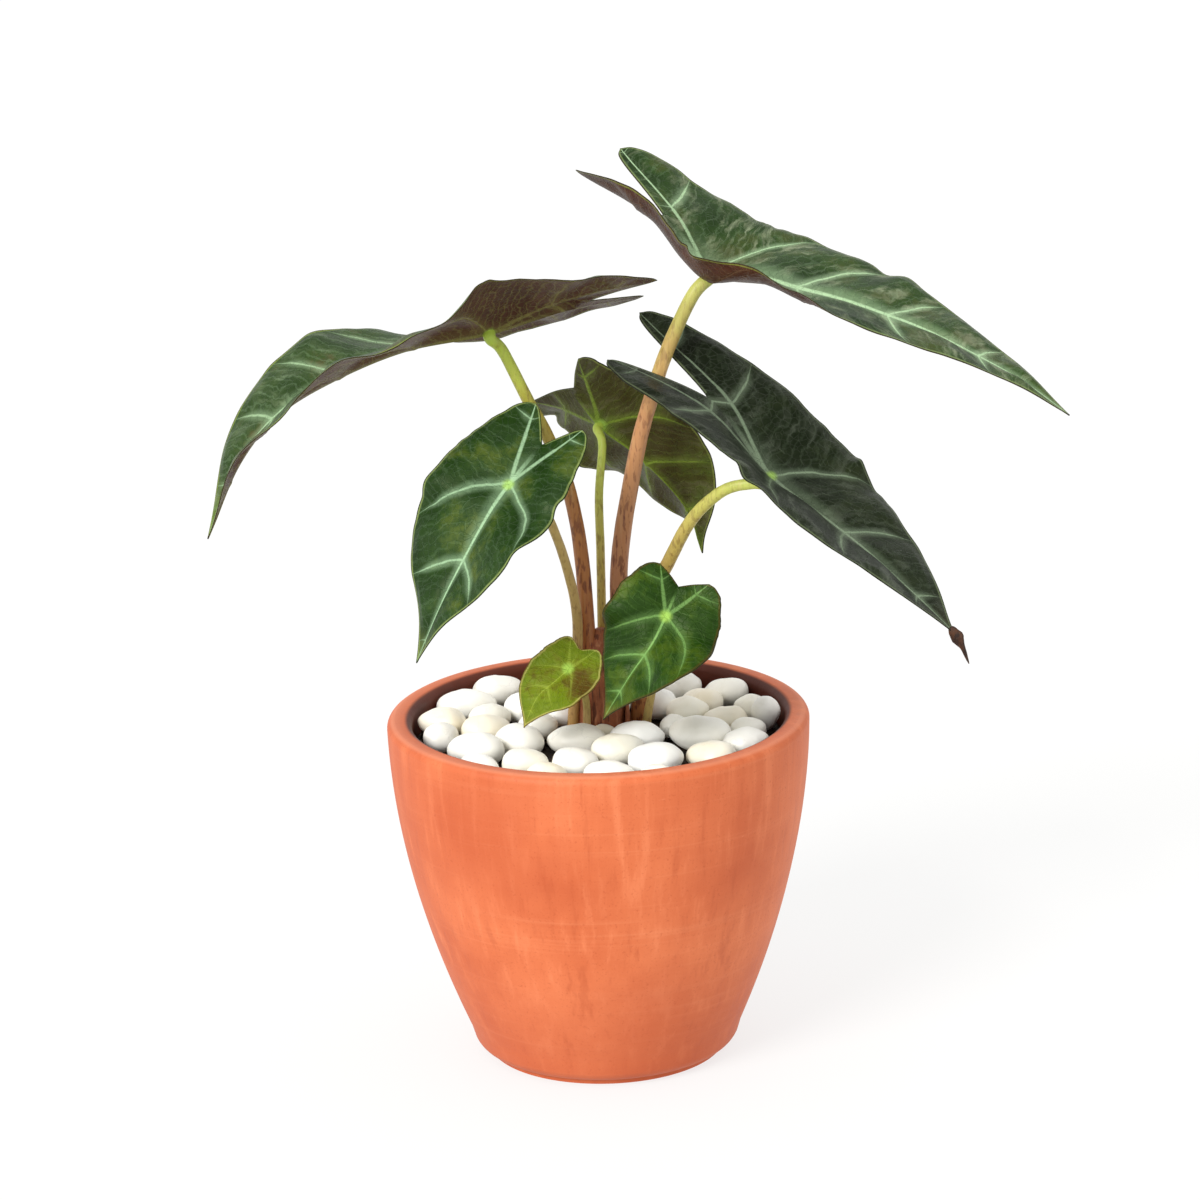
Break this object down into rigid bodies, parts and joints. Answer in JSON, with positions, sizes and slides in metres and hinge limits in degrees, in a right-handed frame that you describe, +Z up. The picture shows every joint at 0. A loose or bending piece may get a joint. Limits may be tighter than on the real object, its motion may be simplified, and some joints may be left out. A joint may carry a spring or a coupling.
{
  "type": "potted alocasia",
  "caption": "Potted alocasia: arrow-shaped leaves with pale veins on tall stalks, in a plain tapered clay pot topped with smooth white stones.",
  "frame": {"origin": "centre of the pot's underside, on the surface that it stands on", "axes": "+Z up along the pot's axis, +X to the plant's right and -Y to its front, seen from the front; the plant's widest spread is along X"},
  "size_m": [0.354, 0.183, 0.3826],
  "materials": {
    "terracotta": "smooth unglazed clay, faintly brushed",
    "potting_soil": "crumbly dark soil",
    "top_stones": "polished, slightly glossy",
    "stem_base": "fibrous, dull",
    "leaf_stalks": "smooth living stalk, satin, speckled",
    "leaf_blades": "waxy living leaf, satin"
  },
  "bodies": {
    "root": {"pot": "terracotta", "potting_soil": "potting_soil", "stem_base": "stem_base", "stalk_upper_right": "leaf_stalks", "stalk_left_arching": "leaf_stalks", "stalk_right_dark": "leaf_stalks", "stalk_back": "leaf_stalks", "stalk_front_left": "leaf_stalks", "stalk_low_right": "leaf_stalks", "stalk_smallest": "leaf_stalks", "leaf_upper_right": "leaf_blades", "leaf_left_arching": "leaf_blades", "leaf_right_dark": "leaf_blades", "leaf_back": "leaf_blades", "leaf_front_left": "leaf_blades", "leaf_low_right": "leaf_blades", "leaf_smallest": "leaf_blades", "stone_01": "top_stones", "stone_02": "top_stones", "stone_03": "top_stones", "stone_04": "top_stones", "stone_05": "top_stones", "stone_06": "top_stones", "stone_07": "top_stones", "stone_08": "top_stones", "stone_09": "top_stones", "stone_10": "top_stones", "stone_11": "top_stones", "stone_12": "top_stones", "stone_13": "top_stones", "stone_14": "top_stones", "stone_15": "top_stones", "stone_16": "top_stones", "stone_17": "top_stones", "stone_18": "top_stones", "stone_19": "top_stones", "stone_20": "top_stones", "stone_21": "top_stones", "stone_22": "top_stones", "stone_23": "top_stones", "stone_24": "top_stones", "stone_25": "top_stones", "stone_26": "top_stones", "stone_27": "top_stones", "stone_28": "top_stones", "stone_29": "top_stones", "stone_30": "top_stones", "stone_31": "top_stones", "stone_32": "top_stones", "stone_33": "top_stones", "stone_34": "top_stones", "stone_35": "top_stones", "stone_36": "top_stones", "stone_37": "top_stones", "stone_38": "top_stones", "stone_39": "top_stones", "stone_40": "top_stones", "stone_41": "top_stones", "stone_42": "top_stones"}
  },
  "joints": []
}
